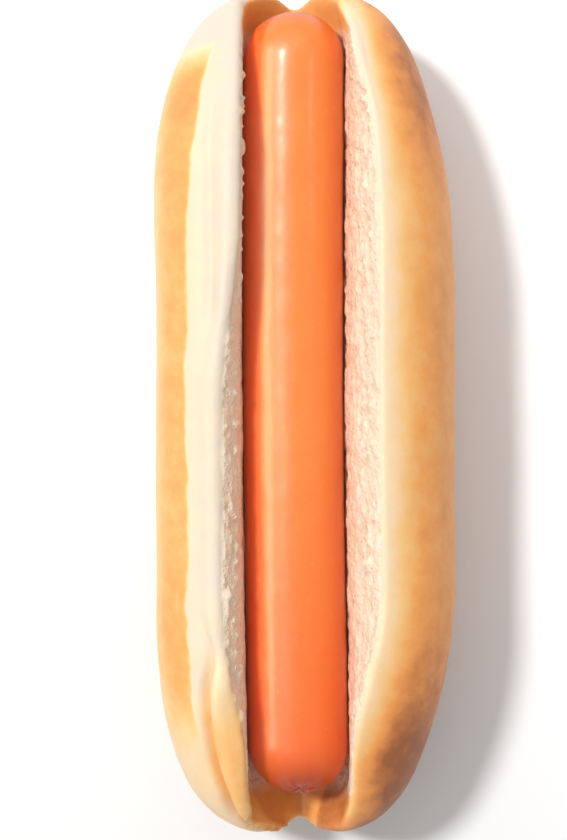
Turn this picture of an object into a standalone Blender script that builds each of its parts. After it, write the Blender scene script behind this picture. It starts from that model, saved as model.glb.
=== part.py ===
"""A hot dog: a soft bun sliced lengthwise, lying on its hinge with the cut side up, and a sausage in the cut.

Blender 4.5, metres, +Z up. The hot dog lies along Y and its origin is at the middle of its base.
Left (-X) is the half of the bun with the flat baked bottom, right (+X) is the half with the domed top.
"""

import math

import bmesh
import bpy
from mathutils import Vector

# ---- driving dimensions, in metres -------------------------------------------------------------
BUN_LENGTH = 0.1604
BUN_WIDTH = 0.0564
NOSE_LENGTH = 0.048      # how far back from each end the bun starts to narrow
FAR_SHIFT = -0.0016      # how far left the bun bends towards its far end, and its near end
NEAR_SHIFT = -0.0012
NOSE_HEIGHT = 0.018      # height of the end points, and of the widest line between them
TOP_HEIGHT = 0.0422      # of the uncut bun's top over the middle
TOP_TILT = 0.020         # how much higher the domed half is, per metre across
SUNK = 0.0010            # how much of the rounded underside the table presses flat
SECTION_POWER = 2.6      # superellipse power of the cross-section: 2 is an ellipse, more is squarer
PLAN_POWER = 3.3         # how bluntly each end closes, seen from above and from the side
SIDE_POWER = 2.8

SAUSAGE_RADIUS = 0.0095
SAUSAGE_LENGTH = 0.1472
SAUSAGE_HEIGHT = 0.0238  # of its axis above the table
TIP_LENGTH = 0.0100      # of the rounded ends, whose power is higher the blunter they are
TIP_POWER = 2.2
PUCKER_RADIUS = 0.0012   # of the dimple where the casing is gathered
PUCKER_DEPTH = 0.0008
SAUSAGE_MIDDLE_Y = 0.0019
SAUSAGE_X = -0.0023      # of its axis where it lies furthest left
SAUSAGE_BOW_Y = 0.030    # the y of that place
SAUSAGE_BOW = 0.0010     # how far the axis bows right, BOW_REACH away from there
BOW_REACH = 0.092

CUT_FLOOR = 0.0108       # height of the cut's lowest line in the middle, and at the bun's ends
CUT_FLOOR_AT_ENDS = 0.0125
CUT_FLOOR_RADIUS = 0.0030
CUT_SLOPE = 0.84         # of the two faces that the sausage lies between, 0.4 mm clear of it
CUT_HALF_WIDTH = 0.0100  # of the upright stretch beside the sausage
CORNER_SOFTNESS = 0.0006  # rounding where each face turns upright
RIM_HEIGHT = 0.0400
END_SLOPE = 0.50         # the faces are plain slopes at the bun's ends
END_START = 0.070        # |y| where they begin to change
TRUMPET_START = 0.0735   # |y| from which the very ends splay
TRUMPET = 0.0014
LEFT_LEAN = 0.0042       # how far each face leans out by rim height, where it leans most
RIGHT_LEAN = 0.0056
LEFT_LEAN_POWER = 4.0    # how late in its height each face starts to lean
RIGHT_LEAN_POWER = 1.6

FOLD_SHARE = 0.70        # the crease's place, as a share of the bun's half-width there
FOLD_START_Y = -0.036
FOLD_RADIUS = 0.0015

# ---- mesh density ------------------------------------------------------------------------------
BUN_SIDES = 64
NOSE_RINGS = 11
BODY_RINGS = 3
CUT_RINGS = 34
CUT_STEPS = 12
FOLD_RINGS = 18
FOLD_SIDES = 10
SAUSAGE_SIDES = 36
SAUSAGE_RINGS = 14
TIP_RINGS = 11
PLEATS = 9

BUN_HALF = BUN_LENGTH / 2
SIDE = BUN_WIDTH / 2


# ---- helpers -----------------------------------------------------------------------------------
def clear_scene():
    for thing in list(bpy.data.objects):
        bpy.data.objects.remove(thing)


def material(name, colour, roughness):
    """A plain Principled material; colour is linear RGB."""
    made = bpy.data.materials.new(name)
    made.use_nodes = True
    shader = made.node_tree.nodes["Principled BSDF"]
    shader.inputs["Base Color"].default_value = (*colour, 1.0)
    shader.inputs["Roughness"].default_value = roughness
    shader.inputs["Metallic"].default_value = 0.0
    return made


def to_object(mesh, name):
    bmesh.ops.recalc_face_normals(mesh, faces=mesh.faces)
    data = bpy.data.meshes.new(name)
    mesh.to_mesh(data)
    mesh.free()
    made = bpy.data.objects.new(name, data)
    bpy.context.scene.collection.objects.link(made)
    return made


def loft(name, rings, first_tip=None, last_tip=None):
    """A closed mesh through equal rings of points; each end closes on its tip, or on a flat cap."""
    mesh = bmesh.new()
    loops = [[mesh.verts.new(point) for point in ring] for ring in rings]
    for near, far in zip(loops, loops[1:]):
        for i in range(len(near)):
            j = (i + 1) % len(near)
            mesh.faces.new((near[i], near[j], far[j], far[i]))
    for loop, tip in ((loops[0], first_tip), (loops[-1], last_tip)):
        if tip is None:
            mesh.faces.new(loop)
            continue
        point = mesh.verts.new(tip)
        for i in range(len(loop)):
            mesh.faces.new((loop[i], loop[(i + 1) % len(loop)], point))
    return to_object(mesh, name)


def subtract(target, cutter):
    """Cuts one object with another, which isn't part of the hot dog itself."""
    cutter.hide_render = True
    cutter.display_type = "WIRE"
    made = target.modifiers.new(f"cut by {cutter.name}", "BOOLEAN")
    made.operation = "DIFFERENCE"
    made.object = cutter
    made.solver = "EXACT"


def smoothstep(value, low, high):
    share = min(1.0, max(0.0, (value - low) / (high - low)))
    return share * share * (3.0 - 2.0 * share)


# ---- the bun's outer form ----------------------------------------------------------------------
def nose_scale(y, power):
    """Size at y as a share of the middle's: 1 along the middle and 0 at each end."""
    into_nose = max(0.0, abs(y) - (BUN_HALF - NOSE_LENGTH)) / NOSE_LENGTH
    return max(0.0, 1.0 - into_nose**2) ** (1.0 / power)


def bun_middle(y):
    """The x of the bun's own middle line, which bends a little left towards both ends."""
    return FAR_SHIFT * smoothstep(y, 0.026, 0.058) + NEAR_SHIFT * smoothstep(-y, 0.034, 0.066)


def section_point(y, across, up):
    """A point of the cross-section at y; across and up run from -1 to 1."""
    wide = nose_scale(y, PLAN_POWER)
    tall = nose_scale(y, SIDE_POWER)
    x = bun_middle(y) + SIDE * wide * across
    rise = TOP_HEIGHT + TOP_TILT * x - NOSE_HEIGHT if up > 0 else NOSE_HEIGHT + SUNK
    return Vector((x, y, NOSE_HEIGHT + rise * tall * up))


def ring_places():
    """The y of each cross-section: close together where the noses curve most."""
    straight = BUN_HALF - NOSE_LENGTH
    body = [straight * i / BODY_RINGS for i in range(BODY_RINGS)]
    nose = [straight + NOSE_LENGTH * math.sin(math.pi / 2 * i / NOSE_RINGS) for i in range(NOSE_RINGS)]
    forward = body + nose
    return [-y for y in reversed(forward)] + forward[1:]


def signed_power(value, power):
    return math.copysign(abs(value) ** power, value)


def loaf_form(name):
    """The whole bun before it is cut: a superellipse section that closes to a blunt nose at each end."""
    rings = []
    for y in ring_places():
        ring = []
        for i in range(BUN_SIDES):
            angle = 2 * math.pi * (i + 0.5) / BUN_SIDES
            across = signed_power(math.cos(angle), 2.0 / SECTION_POWER)
            up = signed_power(math.sin(angle), 2.0 / SECTION_POWER)
            ring.append(section_point(y, across, up))
        rings.append(ring)
    near, far = [Vector((bun_middle(y), y, NOSE_HEIGHT)) for y in (-BUN_HALF, BUN_HALF)]
    return loft(name, rings, near, far)


# ---- the cut and the sausage's place in it -----------------------------------------------------
def sausage_axis(y):
    return SAUSAGE_X + SAUSAGE_BOW * ((y - SAUSAGE_BOW_Y) / BOW_REACH) ** 2


def cut_floor(y):
    return CUT_FLOOR + (CUT_FLOOR_AT_ENDS - CUT_FLOOR) * smoothstep(abs(y), END_START, BUN_HALF)


def left_lean(y):
    """The left face leans out from a third of the way along, and stands upright at both ends."""
    return LEFT_LEAN * smoothstep(-y, -0.036, 0.002) * (1.0 - smoothstep(-y, 0.046, 0.064))


def right_lean(y):
    """The right face leans out along most of the bun, less towards the far end, not at the near one."""
    return RIGHT_LEAN * (1.0 - smoothstep(-y, 0.034, 0.066)) * (1.0 - 0.7 * smoothstep(y, 0.052, 0.076))


def cut_half_width(height, y, lean, power):
    """Distance from the sausage's axis to a cut face at that height.

    Along the middle: a rounded V that the sausage rests in, an upright stretch beside it, and a
    stretch above that which leans out. At the ends: a plain rounded V that splays like a trumpet.
    """
    rise = max(0.0, height - cut_floor(y))
    hollow = math.sqrt(rise**2 + 2 * rise * CUT_FLOOR_RADIUS)
    sloping = CUT_SLOPE * hollow
    # The lesser of the sloping and the upright face, with the corner between them rounded.
    middle = (sloping + CUT_HALF_WIDTH - math.hypot(sloping - CUT_HALF_WIDTH, CORNER_SOFTNESS)) / 2
    above = max(0.0, height - SAUSAGE_HEIGHT) / (RIM_HEIGHT - SAUSAGE_HEIGHT)
    middle += lean * above**power
    end = END_SLOPE * hollow
    width = middle + (end - middle) * smoothstep(abs(y), END_START, BUN_HALF)
    splay = max(0.0, abs(y) - TRUMPET_START) / (BUN_HALF - TRUMPET_START)
    return max(0.0, width) + TRUMPET * splay**2 * min(1.0, rise / CUT_FLOOR_RADIUS)


def cut_places():
    """The y of each of the cut's sections, closer together towards the ends, and past them."""
    reach = BUN_HALF + 0.002
    shares = [math.sin(math.pi / 2 * i / (CUT_RINGS // 2)) for i in range(CUT_RINGS // 2 + 1)]
    forward = [reach * (0.45 * share + 0.55 * i / (CUT_RINGS // 2)) for i, share in enumerate(shares)]
    return [-y for y in reversed(forward)] + forward[1:]


def cut_form(name):
    """The space between the cut faces, out past the bun's top and both its ends."""
    above = RIM_HEIGHT + 0.005
    rings = []
    for y in cut_places():
        floor = cut_floor(y)
        axis = sausage_axis(y)
        heights = [floor + (above - floor) * (step / CUT_STEPS) ** 1.2 for step in range(1, CUT_STEPS + 1)]
        right = [(axis + cut_half_width(z, y, right_lean(y), RIGHT_LEAN_POWER), y, z) for z in heights]
        left = [(axis - cut_half_width(z, y, left_lean(y), LEFT_LEAN_POWER), y, z) for z in heights]
        rings.append([(axis, y, floor), *right, *reversed(left)])
    return loft(name, rings)


def fold_form(name):
    """The crease in the left half: a rod half sunk in its top, growing towards the near end."""
    end_y = -BUN_HALF + 0.0008
    up = (1.0 - FOLD_SHARE**SECTION_POWER) ** (1.0 / SECTION_POWER)
    rings = []
    for i in range(FOLD_RINGS + 1):
        share = i / FOLD_RINGS
        y = FOLD_START_Y + (end_y - FOLD_START_Y) * math.sin(math.pi / 2 * share)
        middle = section_point(y, -FOLD_SHARE, up)
        radius = FOLD_RADIUS * (0.15 + 0.85 * smoothstep(share, 0.0, 0.7))
        ring = []
        for k in range(FOLD_SIDES):
            angle = 2 * math.pi * k / FOLD_SIDES
            ring.append(middle + Vector((radius * math.cos(angle), 0.0, radius * math.sin(angle))))
        rings.append(ring)
    return loft(name, rings)


def table_form(name):
    """The space under the table's surface, which presses the bun's underside flat."""
    mesh = bmesh.new()
    bmesh.ops.create_cube(mesh, size=1.0)
    bmesh.ops.scale(mesh, vec=(2 * BUN_WIDTH, 1.5 * BUN_LENGTH, 0.02), verts=mesh.verts)
    bmesh.ops.translate(mesh, vec=(0.0, 0.0, -0.01), verts=mesh.verts)
    return to_object(mesh, name)


def make_bun():
    """The loaf, less the cut, the fold and what the table presses flat."""
    bun = loaf_form("bun")
    subtract(bun, cut_form("cut_form"))
    subtract(bun, fold_form("fold_form"))
    subtract(bun, table_form("table_form"))
    bun.data.materials.append(material("baked_crust", (0.80, 0.46, 0.17), 0.55))
    bun.data.shade_smooth()
    return bun


# ---- the sausage -------------------------------------------------------------------------------
def tip_profile():
    """(distance from the end, radius) pairs from the pucker's rim up a blunt rounded end."""
    points = [(0.5 * PUCKER_DEPTH, 0.4 * PUCKER_RADIUS), (0.0, PUCKER_RADIUS)]
    for i in range(1, TIP_RINGS + 1):
        share = 1.0 - math.cos(math.pi / 2 * i / TIP_RINGS)
        radius = SAUSAGE_RADIUS * (1.0 - (1.0 - share) ** TIP_POWER) ** (1.0 / TIP_POWER)
        if radius > 1.2 * PUCKER_RADIUS:
            points.append((TIP_LENGTH * share, radius))
    return points


def pleat(distance, radius, angle):
    """How much the casing's gathers swell the radius; they fade out up the rounded end."""
    fade = math.exp(-((distance / 0.0022) ** 2)) * smoothstep(radius, 0.5 * PUCKER_RADIUS, PUCKER_RADIUS)
    return 1 + 0.06 * fade * math.cos(PLEATS * angle)


def make_sausage():
    half = SAUSAGE_LENGTH / 2
    tip = tip_profile()
    straight = half - tip[-1][0]
    places = [(-half + distance, distance, radius) for distance, radius in tip]
    for i in range(1, SAUSAGE_RINGS):
        places.append((-straight + 2 * straight * i / SAUSAGE_RINGS, half, SAUSAGE_RADIUS))
    places += [(half - distance, distance, radius) for distance, radius in reversed(tip)]
    rings = []
    for along, distance, radius in places:
        y = SAUSAGE_MIDDLE_Y + along
        axis = sausage_axis(y)
        ring = []
        for k in range(SAUSAGE_SIDES):
            angle = 2 * math.pi * k / SAUSAGE_SIDES
            reach = radius * pleat(distance, radius, angle)
            ring.append((axis + reach * math.cos(angle), y, SAUSAGE_HEIGHT + reach * math.sin(angle)))
        rings.append(ring)
    ends = [SAUSAGE_MIDDLE_Y + side * (half - PUCKER_DEPTH) for side in (-1, 1)]
    near, far = [(sausage_axis(y), y, SAUSAGE_HEIGHT) for y in ends]
    sausage = loft("sausage", rings, near, far)
    sausage.data.materials.append(material("cooked_sausage", (0.86, 0.20, 0.05), 0.3))
    sausage.data.shade_smooth()
    return sausage


def main():
    clear_scene()
    make_bun()
    make_sausage()


main()
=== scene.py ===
"""The looks of the hot dog: a finely modelled bun and sausage, their materials, soft studio light and camera.

Blender 4.5. Lengths below are in millimetres, and are turned into metres where a mesh is made.
The bun is a closed surface taken from a distance field (a loaf less its cut), then roughened with
noise: pores in the cut faces, soft dents in the crust, and a deep crease by the near end.
"""

import math

import bpy
import numpy as np
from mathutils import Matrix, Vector


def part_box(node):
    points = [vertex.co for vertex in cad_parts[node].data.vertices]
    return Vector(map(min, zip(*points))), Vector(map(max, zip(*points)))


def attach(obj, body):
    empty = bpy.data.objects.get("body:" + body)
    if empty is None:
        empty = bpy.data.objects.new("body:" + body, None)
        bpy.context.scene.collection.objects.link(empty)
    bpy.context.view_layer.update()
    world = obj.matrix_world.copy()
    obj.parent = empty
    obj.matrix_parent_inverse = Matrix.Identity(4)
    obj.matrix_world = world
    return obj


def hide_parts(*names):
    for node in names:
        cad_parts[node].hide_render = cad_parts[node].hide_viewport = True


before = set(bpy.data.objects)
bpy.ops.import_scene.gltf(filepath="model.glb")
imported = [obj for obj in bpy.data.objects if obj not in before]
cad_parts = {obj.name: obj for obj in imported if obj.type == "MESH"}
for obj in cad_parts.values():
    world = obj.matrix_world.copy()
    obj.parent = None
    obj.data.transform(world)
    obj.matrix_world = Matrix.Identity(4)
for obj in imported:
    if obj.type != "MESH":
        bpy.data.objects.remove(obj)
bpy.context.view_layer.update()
MM = 0.001


def box_mm(node):
    low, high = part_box(node)
    return np.array(low) / MM, np.array(high) / MM


BUN_LOW, BUN_HIGH = box_mm("bun")
SAUSAGE_LOW, SAUSAGE_HIGH = box_mm("sausage")

# ---- the bun's form ----------------------------------------------------------------------------
BUN_HALF = (BUN_HIGH[1] - BUN_LOW[1]) / 2 + 0.2
SIDE = (BUN_HIGH[0] - BUN_LOW[0]) / 2
NOSE_LENGTH = 48.0
FAR_SHIFT = -1.6
NEAR_SHIFT = -1.2
NOSE_HEIGHT = 18.0
TOP_HEIGHT = 42.2
TOP_TILT = 0.020
SUNK = 1.0
SECTION_POWER = 2.6
PLAN_POWER = 3.3
SIDE_POWER = 2.8

# ---- the cut -----------------------------------------------------------------------------------
CUT_FLOOR = 10.8
CUT_FLOOR_AT_ENDS = 12.5
CUT_FLOOR_RADIUS = 3.0
CUT_SLOPE = 0.84
CUT_HALF_WIDTH = 9.85
RIM_HEIGHT = 40.0
END_SLOPE = 0.50
LEFT_END_WIDTH = 9.2
RIGHT_END_WIDTH = 7.4
END_START = 68.0
LEFT_LEAN = 4.2
RIGHT_LEAN = 5.6
LEFT_LEAN_POWER = 4.0
RIGHT_LEAN_POWER = 1.6
CREASE_SHARE = 0.68
CREASE_DEPTH = 2.5
CREASE_WIDTH = 0.9
RIM_LIP = 0.6
RIM_ROUNDING = 1.0
END_ROUNDING = 2.6

# ---- the sausage -------------------------------------------------------------------------------
SAUSAGE_RADIUS = (SAUSAGE_HIGH[2] - SAUSAGE_LOW[2]) / 2
SAUSAGE_HEIGHT = (SAUSAGE_HIGH[2] + SAUSAGE_LOW[2]) / 2
SAUSAGE_HALF = (SAUSAGE_HIGH[1] - SAUSAGE_LOW[1]) / 2
SAUSAGE_MIDDLE_Y = (SAUSAGE_HIGH[1] + SAUSAGE_LOW[1]) / 2
TIP_LENGTH = 10.0
TIP_POWER = 2.2
# Each pucker's height above the axis, and its tilt up from level in radians.
NEAR_PUCKER = (4.6, 0.62)
FAR_PUCKER = (-1.0, -0.1)
PLEATS = 9
DIMPLE_RADIUS = 1.1
DIMPLE_DEPTH = 0.8
# How far the ends' darkening reaches: the pucker's own colour, and painted shade beyond it.
DARK_REACH = 6.5
SAUSAGE_X = -2.3
SAUSAGE_BOW_Y = 30.0
SAUSAGE_BOW = 1.0
BOW_REACH = 92.0


# ---- numbers -----------------------------------------------------------------------------------
def smoothstep(value, low, high):
    share = np.clip((value - low) / (high - low), 0.0, 1.0)
    return share * share * (3.0 - 2.0 * share)


def bump(value, middle, width):
    return np.exp(-(((value - middle) / width) ** 2))


def hashed(ix, iy, iz, seed):
    """A repeatable pseudo-random number from 0 to 1 for each whole-numbered cell."""
    mixed = ix * 73856093 ^ iy * 19349663 ^ iz * 83492791 ^ (seed * 2654435761 & 0x7FFFFFFF)
    mixed = (mixed ^ (mixed >> 13)) * 1274126177 & 0x7FFFFFFF
    mixed = (mixed ^ (mixed >> 16)) * 668265263 & 0x7FFFFFFF
    return (mixed ^ (mixed >> 15)).astype(float) / 0x7FFFFFFF


def value_noise(points, size, seed):
    """Smooth noise from -1 to 1 with features about size millimetres wide."""
    scaled = points / size
    cell = np.floor(scaled).astype(np.int64)
    share = scaled - cell
    share = share * share * (3.0 - 2.0 * share)
    total = np.zeros(len(points))
    for dx in (0, 1):
        for dy in (0, 1):
            for dz in (0, 1):
                weight = np.ones(len(points))
                for axis, step in enumerate((dx, dy, dz)):
                    weight *= share[:, axis] if step else 1.0 - share[:, axis]
                total += weight * hashed(cell[:, 0] + dx, cell[:, 1] + dy, cell[:, 2] + dz, seed)
    return 2.0 * total - 1.0


def layered_noise(points, size, seed, layers=3):
    total = np.zeros(len(points))
    for layer in range(layers):
        total += value_noise(points + 17.0 * layer, size / 2**layer, seed + layer) / 2**layer
    return total / (2.0 - 2.0 ** (1 - layers))


def cell_distance(points, size, seed):
    """Distance to the nearest of one random point per cell, in cells."""
    scaled = points / size
    cell = np.floor(scaled).astype(np.int64)
    nearest = np.full(len(points), 9.0)
    for dx in (-1, 0, 1):
        for dy in (-1, 0, 1):
            for dz in (-1, 0, 1):
                corner = cell + np.array((dx, dy, dz))
                offset = [hashed(corner[:, 0], corner[:, 1], corner[:, 2], seed + k) for k in range(3)]
                gap = corner + np.stack(offset, axis=1) - scaled
                nearest = np.minimum(nearest, np.einsum("ij,ij->i", gap, gap))
    return np.sqrt(nearest)


def smooth_max(first, second, rounding):
    """The greater of two distances, with the edge where they meet rounded."""
    overlap = np.maximum(rounding - np.abs(first - second), 0.0) / rounding
    return np.maximum(first, second) + overlap * overlap * rounding / 4.0


# ---- the distance field ------------------------------------------------------------------------
def nose_scale(y, power):
    into_nose = np.maximum(0.0, np.abs(y) - (BUN_HALF - NOSE_LENGTH)) / NOSE_LENGTH
    return np.maximum(1e-4, 1.0 - into_nose**2) ** (1.0 / power)


def bun_middle(y):
    return FAR_SHIFT * smoothstep(y, 26.0, 58.0) + NEAR_SHIFT * smoothstep(-y, 34.0, 66.0)


def loaf_level(x, y, z):
    """0 on the uncut loaf's surface, negative inside, -1 in the middle."""
    wide = nose_scale(y, PLAN_POWER)
    tall = nose_scale(y, SIDE_POWER)
    rise = np.where(z > NOSE_HEIGHT, TOP_HEIGHT + TOP_TILT * x - NOSE_HEIGHT, NOSE_HEIGHT + SUNK)
    across = np.abs(x - bun_middle(y)) / (SIDE * wide)
    up = np.abs(z - NOSE_HEIGHT) / (rise * tall)
    level = (across**SECTION_POWER + up**SECTION_POWER) ** (1.0 / SECTION_POWER) - 1.0
    return np.where(np.abs(y) < BUN_HALF, np.minimum(level, 3.0), 3.0)


def as_distance(level, x, y, z):
    """Turns a level function into a distance near its surface, by dividing by its slope."""
    step = 0.05
    value = level(x, y, z)
    slope_x = level(x + step, y, z) - level(x - step, y, z)
    slope_y = level(x, y + step, z) - level(x, y - step, z)
    slope_z = level(x, y, z + step) - level(x, y, z - step)
    slope = np.sqrt(slope_x**2 + slope_y**2 + slope_z**2) / (2 * step)
    return value / np.maximum(slope, 0.02)


def sausage_axis(y):
    return SAUSAGE_X + SAUSAGE_BOW * ((y - SAUSAGE_BOW_Y) / BOW_REACH) ** 2


def left_lean(y):
    return LEFT_LEAN * smoothstep(-y, -36.0, 2.0) * (1.0 - smoothstep(-y, 46.0, 64.0))


def right_lean(y):
    return RIGHT_LEAN * (1.0 - smoothstep(-y, 34.0, 66.0)) * (1.0 - 0.7 * smoothstep(y, 52.0, 76.0))


def cut_distance(x, y, z):
    """Negative in the space between the cut faces: above a rounded V and between two upright faces."""
    to_end = smoothstep(np.abs(y), END_START, BUN_HALF)
    slope = CUT_SLOPE + (END_SLOPE - CUT_SLOPE) * to_end
    floor = CUT_FLOOR + (CUT_FLOOR_AT_ENDS - CUT_FLOOR) * to_end
    offset = x - sausage_axis(y)
    valley = np.hypot(offset / slope, CUT_FLOOR_RADIUS) - CUT_FLOOR_RADIUS - (z - floor)
    steepness = np.abs(offset) / slope**2 / np.hypot(offset / slope, CUT_FLOOR_RADIUS)
    valley = valley / np.hypot(1.0, steepness)
    above = np.maximum(0.0, z - SAUSAGE_HEIGHT) / (RIM_HEIGHT - SAUSAGE_HEIGHT)
    left = left_lean(y) * above**LEFT_LEAN_POWER
    right = right_lean(y) * above**RIGHT_LEAN_POWER
    lean = np.where(offset > 0, right, left)
    end_width = np.where(offset > 0, RIGHT_END_WIDTH, LEFT_END_WIDTH)
    width = CUT_HALF_WIDTH + (end_width - CUT_HALF_WIDTH) * to_end + lean
    return smooth_max(valley, np.abs(offset) - width, 1.2)


def rim_rounding(y):
    return RIM_ROUNDING + (END_ROUNDING - RIM_ROUNDING) * smoothstep(np.abs(y), 66.0, 78.0)


def bun_distance(x, y, z):
    loaf = as_distance(loaf_level, x, y, z)
    cut = smooth_max(loaf, -cut_distance(x, y, z), rim_rounding(y))
    return smooth_max(cut, -z, 1.5)


def bun_slope(points):
    """The unit normals of the bun's distance field, and its slope."""
    x, y, z = points.T
    step = 0.04
    slope = np.stack([
        bun_distance(x + step, y, z) - bun_distance(x - step, y, z),
        bun_distance(x, y + step, z) - bun_distance(x, y - step, z),
        bun_distance(x, y, z + step) - bun_distance(x, y, z - step),
    ], axis=1) / (2 * step)
    length = np.maximum(np.linalg.norm(slope, axis=1), 1e-6)
    return slope / length[:, None], length


# ---- a surface from the field ------------------------------------------------------------------
def spaced(stops):
    """Grid lines from (start, spacing) pairs; the last start is where they end."""
    lines = []
    for (start, spacing), (end, _) in zip(stops, stops[1:]):
        count = max(1, round((end - start) / spacing))
        lines += [start + (end - start) * i / count for i in range(count)]
    return np.array(lines + [stops[-1][0]])


def crossing_cells(values, grid):
    """One point in each cell that the surface passes through: the mean of its crossings."""
    shape = tuple(n - 1 for n in values.shape)
    total = np.zeros(shape + (3,), dtype=np.float32)
    count = np.zeros(shape, dtype=np.float32)
    for axis in range(3):
        low = [slice(None)] * 3
        high = [slice(None)] * 3
        low[axis] = slice(0, -1)
        high[axis] = slice(1, None)
        first, second = values[tuple(low)], values[tuple(high)]
        crosses = (first < 0) != (second < 0)
        where = np.nonzero(crosses)
        share = first[where] / (first[where] - second[where])
        point = np.empty((len(share), 3), dtype=np.float32)
        for k in range(3):
            lines = grid[k]
            point[:, k] = lines[where[k]]
            if k == axis:
                point[:, k] += share * (lines[where[k] + 1] - lines[where[k]])
        others = [k for k in range(3) if k != axis]
        for da in (0, 1):
            for db in (0, 1):
                cell = [where[0].copy(), where[1].copy(), where[2].copy()]
                cell[others[0]] -= da
                cell[others[1]] -= db
                np.add.at(total, tuple(cell), point)
                np.add.at(count, tuple(cell), 1.0)
    return total, count


def surface_quads(values, index):
    """A quad round each grid edge that crosses the surface, facing outwards."""
    quads = []
    for axis in range(3):
        low = [slice(None)] * 3
        high = [slice(None)] * 3
        low[axis] = slice(0, -1)
        high[axis] = slice(1, None)
        first, second = values[tuple(low)], values[tuple(high)]
        where = np.nonzero((first < 0) != (second < 0))
        b, c = (axis + 1) % 3, (axis + 2) % 3
        corners = []
        for db, dc in ((0, 0), (1, 0), (1, 1), (0, 1)):
            cell = [where[0].copy(), where[1].copy(), where[2].copy()]
            cell[b] -= db
            cell[c] -= dc
            corners.append(index[tuple(cell)])
        quad = np.stack(corners, axis=1)
        outwards = first[where] < 0
        quad[~outwards] = quad[~outwards][:, ::-1]
        quads.append(quad)
    return np.concatenate(quads)


def relax(points, quads, rounds):
    """Evens out the mesh, moving each point along the surface towards its neighbours' middle."""
    for _ in range(rounds):
        total = np.zeros_like(points)
        count = np.zeros(len(points))
        for a, b in ((0, 1), (1, 2), (2, 3), (3, 0)):
            for start, end in ((quads[:, a], quads[:, b]), (quads[:, b], quads[:, a])):
                for k in range(3):
                    total[:, k] += np.bincount(start, points[end, k], len(points))
                count += np.bincount(start, minlength=len(points))
        points = points + 0.5 * (total / count[:, None] - points)
        points = settle(points, 1)
    return points


def settle(points, rounds):
    """Moves points onto the surface."""
    for _ in range(rounds):
        normal, slope = bun_slope(points)
        points = points - normal * (bun_distance(*points.T) / slope)[:, None]
    return points


def bun_surface():
    grid = (
        spaced([(-30.3, 0.75), (-18.5, 0.5), (-10.5, 0.9), (5.5, 0.5), (18.0, 0.75), (30.3, 0)]),
        spaced([(-81.6, 0.62), (81.6, 0)]),
        spaced([(-1.3, 1.5), (12.2, 1.0), (25.0, 0.5), (43.0, 0)]),
    )
    x, y, z = np.meshgrid(*grid, indexing="ij")
    values = bun_distance(x, y, z)
    total, count = crossing_cells(values, grid)
    used = count > 0
    index = np.full(used.shape, -1, dtype=np.int64)
    index[used] = np.arange(used.sum())
    points = (total[used] / count[used][:, None]).astype(float)
    quads = surface_quads(values, index)
    points = settle(points, 3)
    return relax(points, quads, 3), quads


# ---- relief ------------------------------------------------------------------------------------
def half_width(y):
    return SIDE * nose_scale(y, PLAN_POWER)


def crease_x(y):
    """Where the crease by the near end runs over the left half."""
    return bun_middle(y) - (CREASE_SHARE - 0.06 * bump(y, -45.0, 6.0)) * half_width(y)


def crease_depth(y):
    return CREASE_DEPTH * smoothstep(-y, 35.0, 55.0)


def crust_relief(points, normal):
    """How far the crust stands out from the plain form: dents, the crease, the folds by the cut."""
    x, y, z = points.T
    upward = smoothstep(normal[:, 2], 0.15, 0.6)
    relief = 0.35 * layered_noise(points, 16.0, 3) + 0.07 * layered_noise(points, 4.0, 5)
    wander = 0.5 * value_noise(np.stack([0 * x, y, 0 * z], axis=1), 7.0, 8)
    crease = (x - crease_x(y) - wander) / CREASE_WIDTH
    left = upward * (x < 0)
    relief -= left * crease_depth(y) * np.exp(-(crease**2))
    relief += left * 0.55 * crease_depth(y) * bump(x, crease_x(y) + 3.0, 2.0)
    groove = smoothstep(y, 12.0, 22.0) * (1.0 - smoothstep(y, 50.0, 62.0))
    relief -= left * 0.55 * groove * bump(x, -17.7 + 0.5 * wander, 1.1)
    relief += left * 0.35 * groove * bump(x, -14.8, 1.3)
    rim = sausage_axis(y) - CUT_HALF_WIDTH - left_lean(y)
    relief += left * RIM_LIP * bump(x, rim - 1.4, 1.6) * smoothstep(y, -72.0, -50.0)
    return relief


def crumb_relief(points):
    """The torn, porous face of the cut."""
    pores = np.clip(0.55 - cell_distance(points, 1.9, 21), 0.0, 1.0)
    fine = np.clip(0.5 - cell_distance(points, 1.1, 27), 0.0, 1.0)
    lumps = layered_noise(points, 5.0, 11)
    torn = 0.30 + 0.45 * lumps - 1.1 * pores - 0.5 * fine + 0.22 * layered_noise(points, 1.6, 15, 2)
    # The left face is calmer; bumps are flattened, though a few still graze the sausage.
    torn = np.where(points[:, 0] < 0, 0.6 * torn + 0.1, torn)
    torn = np.minimum(torn, 0.38 + 0.25 * (torn - 0.38))
    z = points[:, 2]
    # Loose crumbs just below the rims.
    by_rim = smoothstep(z, 31.0, 35.0) * (1.0 - smoothstep(z, 38.5, 40.0))
    return torn + 1.1 * by_rim * np.clip(value_noise(points, 1.2, 19) - 0.25, 0.0, 1.0)


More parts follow.
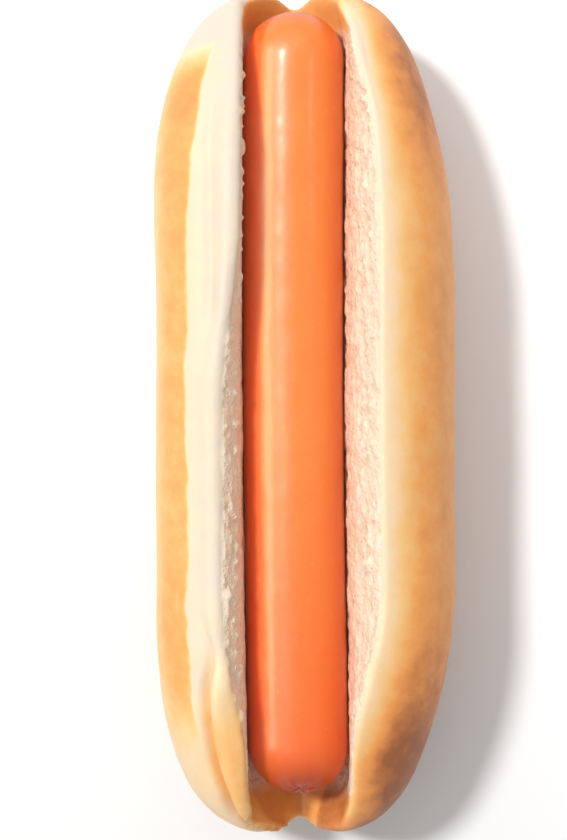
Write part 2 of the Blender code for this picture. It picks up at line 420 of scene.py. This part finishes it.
def bun_masks(points):
    """How much each point is crumb, and how brown its crust is, by baking and by painted shade, from 0 to 1.
    """
    x, y, z = points.T
    depth = -as_distance(loaf_level, x, y, z)
    ragged = 0.35 * layered_noise(points, 2.2, 31, 2)
    crumb = smoothstep(depth + ragged, 0.45, 1.0) * (z > 3.0)
    crumb *= 1.0 - smoothstep(np.abs(y) + 2.0 * ragged, 69.0, 73.5)
    angle = np.degrees(np.arctan2(z - NOSE_HEIGHT, x))
    angle_below = np.where(angle < -90.0, angle + 360.0, angle)
    wobble = layered_noise(points, 9.0, 41)

    # The domed top: golden and browner away from the cut; browner towards the near end, partly a browner
    # crust and partly painted shade.
    dome = smoothstep(angle_below + 5.0 * wobble, -62.0, -25.0) * (x > 0)
    rim = sausage_axis(y) + CUT_HALF_WIDTH + right_lean(y)
    from_cut = smoothstep(x - rim + 0.8 * wobble, -0.5, 9.5)
    low_side = 1.0 - smoothstep(z, 20.0, 34.0)
    out = np.maximum(from_cut, low_side)
    near = smoothstep(-y + 5.0 * wobble, 26.0, 62.0)
    far = smoothstep(y, 36.0, 62.0)
    dome_bake_and_shade = 0.06 + 0.46 * out + near * (0.12 + 0.20 * out) + far * 0.30 * smoothstep(x - rim, -0.5, 3.5)
    # Near end: partly a browner crust and partly painted shade.
    dome_bake_and_shade += 0.34 * smoothstep(-y + 3.0 * wobble, 55.0, 68.0) * smoothstep(x - rim, -2.0, 2.0)
    dome_bake_and_shade += 0.07 * layered_noise(points, 14.0, 45, 2) * (0.4 + near)

    # The flat bottom on the left: golden, with a sharp edge against the soft side.
    edge = angle_below + 1.5 * wobble + 1.0 * layered_noise(points, 3.0, 43)
    edge += 2.2 * smoothstep(y, 30.0, 44.0)
    inside = smoothstep(edge, 139.5, 142.0) * (1.0 - smoothstep(edge, 205.0, 225.0))
    inside *= 1.0 - 0.45 * smoothstep(edge, 149.0, 168.0)
    along = smoothstep(y + 2.0 * wobble, -66.0, -46.0) * (1.0 - smoothstep(y + 2.0 * wobble, 61.0, 71.0))
    bottom_bake_and_shade = (0.47 + 0.05 * smoothstep(np.abs(y), 20.0, 45.0)) * inside * along
    bottom_bake_and_shade += 0.12 * inside * along * bump(y, 58.0, 5.0)

    # The strip between the crease and the cut, by the near end; painted shade in the bottom of the crease and
    # over the left half's near end.
    strip = smoothstep(x - crease_x(y), -0.6, 0.6) * smoothstep(-y + 2.0 * wobble, 36.0, 60.0)
    bottom_bake_and_shade = np.maximum(bottom_bake_and_shade, 0.24 * strip)
    bottom_bake_and_shade = np.maximum(bottom_bake_and_shade, 0.05 * smoothstep(edge, 120.0, 138.0) * along)
    # Painted shade in the bottom of the crease.
    bottom_bake_and_shade += 0.12 * smoothstep(-y, 38.0, 52.0) * bump(x, crease_x(y), 0.9)
    # Painted shade over the left half's near end, which is turned from the light.
    bottom_bake_and_shade += 0.14 * smoothstep(-y + 3.0 * wobble, 48.0, 66.0)

    # Painted shade: the faces of the cut at the bun's very ends lie in shade, and are painted a dark tan.
    painted_end_shade = smoothstep(depth, 0.6, 1.6) * smoothstep(np.abs(y) + 2.0 * ragged, 68.0, 72.0)

    bake_and_shade = np.where(x > 0, dome_bake_and_shade * dome, bottom_bake_and_shade)
    bake_and_shade = np.maximum(bake_and_shade, 0.50 * painted_end_shade)
    bake_and_shade = np.clip(bake_and_shade + 0.05 * layered_noise(points, 6.0, 47), 0.0, 1.0)
    return crumb, bake_and_shade


# ---- meshes ------------------------------------------------------------------------------------
def make_mesh(name, points, faces):
    data = bpy.data.meshes.new(name)
    data.from_pydata((points * MM).tolist(), [], faces)
    data.update()
    data.shade_smooth()
    made = bpy.data.objects.new(name, data)
    bpy.context.scene.collection.objects.link(made)
    return made


def add_attribute(piece, name, values):
    layer = piece.data.attributes.new(name, "FLOAT", "POINT")
    layer.data.foreach_set("value", np.asarray(values, dtype=np.float32))


def make_bun():
    points, quads = bun_surface()
    normal, _ = bun_slope(points)
    crumb, bake_and_shade = bun_masks(points)
    crust = crust_relief(points, normal)
    torn = crumb_relief(points)
    under = smoothstep(points[:, 2], 0.0, 1.5)
    relief = (crust + (torn - crust) * crumb) * under
    moved = points + normal * relief[:, None]
    bun = make_mesh("bun_crust_and_crumb", moved, quads.tolist())
    add_attribute(bun, "crumb", crumb)
    add_attribute(bun, "bake_and_shade", bake_and_shade)
    # Painted shade: crumb low in the cut, by the sausage, is darkened, and so are its pores.
    deep = 0.5 * (1.0 - smoothstep(points[:, 2], 28.0, 34.0))
    add_attribute(bun, "painted_crumb_shade", np.clip(0.2 + deep - torn, 0.0, 1.0) * crumb)
    return bun


def sausage_tip(distance):
    """Radius at a distance from the end: a blunt superellipse."""
    into = 1.0 - np.clip(distance / TIP_LENGTH, 0.0, 1.0)
    return SAUSAGE_RADIUS * (1.0 - into**TIP_POWER) ** (1.0 / TIP_POWER)


def gather(points, centre, normal):
    """Draws the casing in to a puckered dimple; also returns how dark each point is there: the pucker's own
    dark red-brown, spread wider as painted shade over the rounded end.
    """
    offset = points - centre
    distance = np.linalg.norm(offset, axis=1)
    side = np.cross(normal, (1.0, 0.0, 0.0))
    turn = np.arctan2(offset @ side, offset[:, 0])
    folds = np.cos(PLEATS * turn + 0.9 * np.sin(2 * turn + 0.6)) + 0.4 * np.cos(17 * turn + 1.0)
    depth = DIMPLE_DEPTH * np.exp(-((distance / DIMPLE_RADIUS) ** 2))
    ridges = 0.20 * folds * np.exp(-(((distance - 2.0) / 1.5) ** 2))
    streaks = 1.0 - 0.22 * np.clip(folds, -1.0, 1.0) * np.exp(-((distance / 3.5) ** 2))
    dark = np.exp(-((distance / DARK_REACH) ** 2)) * streaks
    return points + np.outer(ridges - depth, normal), np.clip(dark, 0.0, 1.0)


def painted_flank_shade(points):
    """Painted shade on the casing: the left rim's shadow as a deep red band down the left flank with a wavy
    edge, and shade down the right flank and underneath.
    """
    x, y, z = points.T
    across = x - sausage_axis(y)
    turn = np.degrees(np.arctan2(np.abs(across), z - SAUSAGE_HEIGHT))
    wave = 2.5 * layered_noise(np.stack([0 * x, y, 0 * z], axis=1), 14.0, 71)
    left = smoothstep(turn + wave, 38.0, 43.0)
    right = 0.5 * smoothstep(turn, 25.0, 62.0) + 0.5 * smoothstep(turn, 90.0, 130.0)
    left *= 1.0 - smoothstep(-y, 58.0, 68.0)
    return np.where(across < 0, left, right)


def make_sausage():
    sides = 128
    body = np.linspace(-SAUSAGE_HALF + TIP_LENGTH, SAUSAGE_HALF - TIP_LENGTH, 300)
    tip = TIP_LENGTH * (1.0 - np.cos(np.linspace(0.0, np.pi / 2, 60)[1:]))
    along = np.concatenate([-SAUSAGE_HALF + tip[:-1], body, SAUSAGE_HALF - tip[:-1][::-1]])
    angle = np.linspace(0.0, 2 * np.pi, sides, endpoint=False)
    distance = SAUSAGE_HALF - np.abs(along)
    ring_y, ring_angle = np.meshgrid(along + SAUSAGE_MIDDLE_Y, angle, indexing="ij")
    ring_radius = np.repeat(sausage_tip(distance)[:, None], sides, axis=1)
    ring_distance = np.repeat(distance[:, None], sides, axis=1)
    circle = np.stack([np.cos(ring_angle), ring_y / SAUSAGE_RADIUS, np.sin(ring_angle)], axis=-1)
    flat = circle.reshape(-1, 3) * SAUSAGE_RADIUS
    swell = (0.22 * layered_noise(flat, 16.0, 61) + 0.05 * layered_noise(flat, 4.0, 67)).reshape(ring_y.shape)
    reach = ring_radius + swell * np.clip(ring_distance / 6.0, 0.0, 1.0)
    x = sausage_axis(ring_y) + reach * np.cos(ring_angle)
    z = SAUSAGE_HEIGHT + reach * np.sin(ring_angle)
    points = np.stack([x, ring_y, z], axis=-1).reshape(-1, 3)
    ends = [[sausage_axis(end), end, SAUSAGE_HEIGHT] for end in (SAUSAGE_LOW[1], SAUSAGE_HIGH[1])]
    points = np.concatenate([points, ends])
    rings = len(along)
    faces = []
    for i in range(rings - 1):
        for k in range(sides):
            j = (k + 1) % sides
            faces.append((i * sides + k, (i + 1) * sides + k, (i + 1) * sides + j, i * sides + j))
    near, far = rings * sides, rings * sides + 1
    last = (rings - 1) * sides
    for k in range(sides):
        j = (k + 1) % sides
        faces.append((near, k, j))
        faces.append((far, last + j, last + k))
    dark = np.zeros(len(points))
    for end, (height, tilt) in ((SAUSAGE_LOW[1], NEAR_PUCKER), (SAUSAGE_HIGH[1], FAR_PUCKER)):
        outward = math.copysign(1.0, end)
        # How far back from the very end the rounded tip lies at the pucker's height.
        share = abs(height) / SAUSAGE_RADIUS
        back = TIP_LENGTH * (1.0 - (1.0 - share**TIP_POWER) ** (1 / TIP_POWER))
        face = end - outward * back
        centre = np.array([sausage_axis(end), face, SAUSAGE_HEIGHT + height])
        normal = np.array([0.0, outward * math.cos(tilt), math.sin(tilt)])
        points, shade = gather(points, centre, normal)
        dark = np.maximum(dark, shade)
    sausage = make_mesh("sausage_skin", points, faces)
    add_attribute(sausage, "tip", dark)
    # The side attribute holds the painted shadow and shade on the flanks.
    add_attribute(sausage, "side", painted_flank_shade(points))
    return sausage


# ---- materials ---------------------------------------------------------------------------------
class Nodes:
    """Short ways to add and join shader nodes."""

    def __init__(self, name):
        self.material = bpy.data.materials.new(name)
        self.material.use_nodes = True
        self.tree = self.material.node_tree
        self.shader = self.tree.nodes["Principled BSDF"]
        self.place = self.add("ShaderNodeTexCoord").outputs["Object"]

    def add(self, kind, **settings):
        node = self.tree.nodes.new(kind)
        for key, value in settings.items():
            setattr(node, key, value)
        return node

    def put(self, value, socket):
        if isinstance(value, bpy.types.NodeSocket):
            self.tree.links.new(value, socket)
        else:
            socket.default_value = value

    def attribute(self, name):
        return self.add("ShaderNodeAttribute", attribute_name=name).outputs["Fac"]

    def noise(self, scale, detail=3.0, roughness=0.5):
        node = self.add("ShaderNodeTexNoise")
        self.put(self.place, node.inputs["Vector"])
        self.put(scale, node.inputs["Scale"])
        self.put(detail, node.inputs["Detail"])
        self.put(roughness, node.inputs["Roughness"])
        return node.outputs["Fac"]

    def cells(self, scale):
        node = self.add("ShaderNodeTexVoronoi")
        self.put(self.place, node.inputs["Vector"])
        self.put(scale, node.inputs["Scale"])
        return node.outputs["Distance"]

    def math(self, operation, first, second=0.0, third=0.0):
        node = self.add("ShaderNodeMath", operation=operation)
        for value, socket in zip((first, second, third), node.inputs):
            self.put(value, socket)
        return node.outputs[0]

    def span(self, value, low, high, to_low=0.0, to_high=1.0):
        node = self.add("ShaderNodeMapRange")
        for setting, socket in zip((value, low, high, to_low, to_high), node.inputs):
            self.put(setting, socket)
        return node.outputs[0]

    def mix(self, share, first, second):
        node = self.add("ShaderNodeMix", data_type="RGBA")
        self.put(share, node.inputs["Factor"])
        for value, socket in ((first, node.inputs[6]), (second, node.inputs[7])):
            self.put((*value, 1.0) if isinstance(value, tuple) else value, socket)
        return node.outputs[2]

    def ramp(self, value, stops):
        node = self.add("ShaderNodeValToRGB")
        self.put(value, node.inputs["Fac"])
        ramp = node.color_ramp
        while len(ramp.elements) < len(stops):
            ramp.elements.new(0.5)
        for element, (place, colour) in zip(ramp.elements, stops):
            element.position = place
            element.color = (*colour, 1.0)
        return node.outputs["Color"]

    def bumps(self, height, distance, strength=1.0, normal=None):
        node = self.add("ShaderNodeBump")
        self.put(strength, node.inputs["Strength"])
        self.put(distance, node.inputs["Distance"])
        self.put(height, node.inputs["Height"])
        if normal is not None:
            self.put(normal, node.inputs["Normal"])
        return node.outputs["Normal"]

    def finish(self, **sockets):
        for name, value in sockets.items():
            self.put(value, self.shader.inputs[name.replace("_", " ")])
        return self.material


def bread_material():
    nodes = Nodes("bread")
    crumb = nodes.attribute("crumb")
    bake_and_shade = nodes.attribute("bake_and_shade")
    painted_crumb_shade = nodes.attribute("painted_crumb_shade")
    mottle = nodes.math("SUBTRACT", nodes.noise(260.0, 4.0, 0.6), 0.5)
    speckle = nodes.math("SUBTRACT", nodes.noise(1500.0, 2.0), 0.5)
    spread = nodes.math("MULTIPLY_ADD", bake_and_shade, 0.5, 0.10)
    browned_and_shaded = nodes.math("MULTIPLY_ADD", mottle, spread, bake_and_shade)
    browned_and_shaded = nodes.math("MULTIPLY_ADD", speckle, 0.05, browned_and_shaded)
    crust = nodes.ramp(browned_and_shaded, [
        (0.00, (0.62, 0.53, 0.43)),
        (0.12, (0.76, 0.58, 0.37)),
        (0.30, (0.78, 0.475, 0.187)),
        (0.50, (0.78, 0.335, 0.088)),
        (0.66, (0.70, 0.260, 0.065)),
        (0.82, (0.50, 0.170, 0.046)),
        (1.00, (0.32, 0.100, 0.030)),
    ])
    soft = nodes.ramp(nodes.noise(420.0, 3.0), [
        (0.3, (0.73, 0.58, 0.43)),
        (0.7, (0.79, 0.67, 0.52)),
    ])
    pore = nodes.span(nodes.cells(1100.0), 0.05, 0.45)
    # Painted shade: a brown mixed into the crumb in its pores and low in the cut.
    soft = nodes.mix(nodes.math("MULTIPLY", painted_crumb_shade, 0.8), soft, (0.74, 0.43, 0.26))
    colour = nodes.mix(crumb, crust, soft)
    height = nodes.math("MULTIPLY", nodes.math("ADD", pore, nodes.noise(1400.0, 3.0)), crumb)
    crust_height = nodes.noise(700.0, 4.0, 0.6)
    normal = nodes.bumps(height, 0.0003, 0.55)
    normal = nodes.bumps(crust_height, 0.00008, 0.6, normal)
    return nodes.finish(
        Base_Color=colour,
        Roughness=nodes.span(crumb, 0.0, 1.0, 0.52, 0.95),
        Specular_IOR_Level=0.35,
        Subsurface_Weight=0.12,
        Subsurface_Radius=(1.0, 0.5, 0.25),
        Subsurface_Scale=0.003,
        Normal=normal,
    )


def sausage_material():
    nodes = Nodes("sausage_casing")
    tip = nodes.attribute("tip")
    axes = nodes.add("ShaderNodeSeparateXYZ")
    nodes.put(nodes.place, axes.inputs[0])
    redder = nodes.span(axes.outputs["Y"], -0.004, -0.068)
    drift = nodes.noise(60.0, 2.0)
    warm = nodes.mix(drift, (0.80, 0.205, 0.026), (0.83, 0.235, 0.034))
    colour = nodes.mix(redder, warm, (0.80, 0.135, 0.015))
    # Painted shadow: the deep red where the left rim's shadow falls down the left flank, and painted shade
    # down the right flank.
    deep = nodes.mix(redder, (0.95, 0.135, 0.018), (0.88, 0.110, 0.014))
    colour = nodes.mix(nodes.math("MULTIPLY", nodes.attribute("side"), 0.85), colour, deep)
    fleck = nodes.span(nodes.noise(900.0, 2.0), 0.62, 0.75)
    colour = nodes.mix(nodes.math("MULTIPLY", fleck, 0.2), colour, (0.95, 0.33, 0.10))
    # The ends: the puckers' own dark red-brown, with painted shade over the rounded ends.
    colour = nodes.mix(nodes.span(tip, 0.0, 0.75), colour, (0.40, 0.055, 0.010))
    normal = nodes.bumps(nodes.noise(350.0, 3.0), 0.00006, 0.5)
    return nodes.finish(
        Base_Color=colour,
        Roughness=0.42,
        Specular_IOR_Level=0.5,
        Coat_Weight=nodes.span(tip, 0.0, 0.6, 0.30, 0.0),
        Coat_Roughness=0.22,
        Subsurface_Weight=0.65,
        Subsurface_Radius=(1.0, 0.07, 0.03),
        Subsurface_Scale=0.012,
        Normal=normal,
    )


def floor_material():
    nodes = Nodes("pale_floor")
    axes = nodes.add("ShaderNodeSeparateXYZ")
    nodes.put(nodes.place, axes.inputs[0])
    # Painted shade: the floor is darker towards the near end, standing in for light that falls off there.
    shade = nodes.mix(nodes.span(axes.outputs["Y"], -0.09, 0.07), (0.72, 0.72, 0.72), (0.93, 0.93, 0.93))
    return nodes.finish(Base_Color=shade, Roughness=0.9, Specular_IOR_Level=0.1)


# ---- the room ----------------------------------------------------------------------------------
def make_floor():
    data = bpy.data.meshes.new("floor")
    reach = 1.5
    corners = [(-reach, -reach, 0.0), (reach, -reach, 0.0), (reach, reach, 0.0), (-reach, reach, 0.0)]
    data.from_pydata(corners, [], [(0, 1, 2, 3)])
    floor = bpy.data.objects.new("floor", data)
    bpy.context.scene.collection.objects.link(floor)
    floor.data.materials.append(floor_material())


def aim(thing, place, target):
    thing.location = place
    direction = Vector(target) - Vector(place)
    thing.rotation_euler = direction.to_track_quat("-Z", "Y").to_euler()


def direction_from(azimuth, elevation):
    """Unit vector towards a light; azimuth 0 is +X and 90 is +Y."""
    level = math.cos(math.radians(elevation))
    turn = math.radians(azimuth)
    return Vector((level * math.cos(turn), level * math.sin(turn), math.sin(math.radians(elevation))))


def add_light(name, kind, energy, azimuth, elevation, distance=1.0, size=0.1):
    data = bpy.data.lights.new(name, kind)
    data.energy = energy
    light = bpy.data.objects.new(name, data)
    bpy.context.scene.collection.objects.link(light)
    aim(light, direction_from(azimuth, elevation) * distance, (0.0, 0.0, 0.02))
    if kind == "SUN":
        data.angle = math.radians(size)
    return light


def make_lights():
    world = bpy.data.worlds.new("studio")
    world.use_nodes = True
    background = world.node_tree.nodes["Background"]
    background.inputs["Color"].default_value = (1.0, 1.0, 1.0, 1.0)
    background.inputs["Strength"].default_value = 0.60
    bpy.context.scene.world = world
    add_light("key", "SUN", 2.65, 150.0, 57.8, size=9.0)
    strip = add_light("gloss_strip", "AREA", 8.5, 172.0, 31.0, distance=0.9)
    strip.data.shape = "RECTANGLE"
    strip.data.size = 0.75
    strip.data.size_y = 0.26
    strip.data.color = (1.0, 0.88, 0.62)
    strip.data.use_shadow = False
    strip.visible_diffuse = False
    glint = add_light("glint", "AREA", 0.35, 21.0, 50.0, distance=0.93)
    glint.data.size = 0.09
    glint.data.use_shadow = False
    glint.visible_diffuse = False
    fill = add_light("far_fill", "AREA", 0.30, 90.0, 46.0, distance=0.43)
    fill.data.size = 0.3


def make_camera():
    data = bpy.data.cameras.new("camera")
    data.lens = 100.0
    data.sensor_width = 36.0
    camera = bpy.data.objects.new("camera", data)
    bpy.context.scene.collection.objects.link(camera)
    # Straight above, with the hot dog right of the middle and its far end just out of the frame.
    camera.location = (-0.0041, -0.0014, 0.465)
    camera.rotation_euler = (0.0, 0.0, 0.0)
    bpy.context.scene.camera = camera


def main():
    bpy.context.scene.view_settings.view_transform = "Standard"
    bun = make_bun()
    bun.data.materials.append(bread_material())
    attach(bun, "root")
    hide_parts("bun")
    sausage = make_sausage()
    sausage.data.materials.append(sausage_material())
    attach(sausage, "root")
    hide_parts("sausage")
    make_floor()
    make_lights()
    make_camera()
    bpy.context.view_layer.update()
    counts = [sum(len(face.vertices) - 2 for face in made.data.polygons) for made in (bun, sausage)]
    print("triangles", *counts)


main()
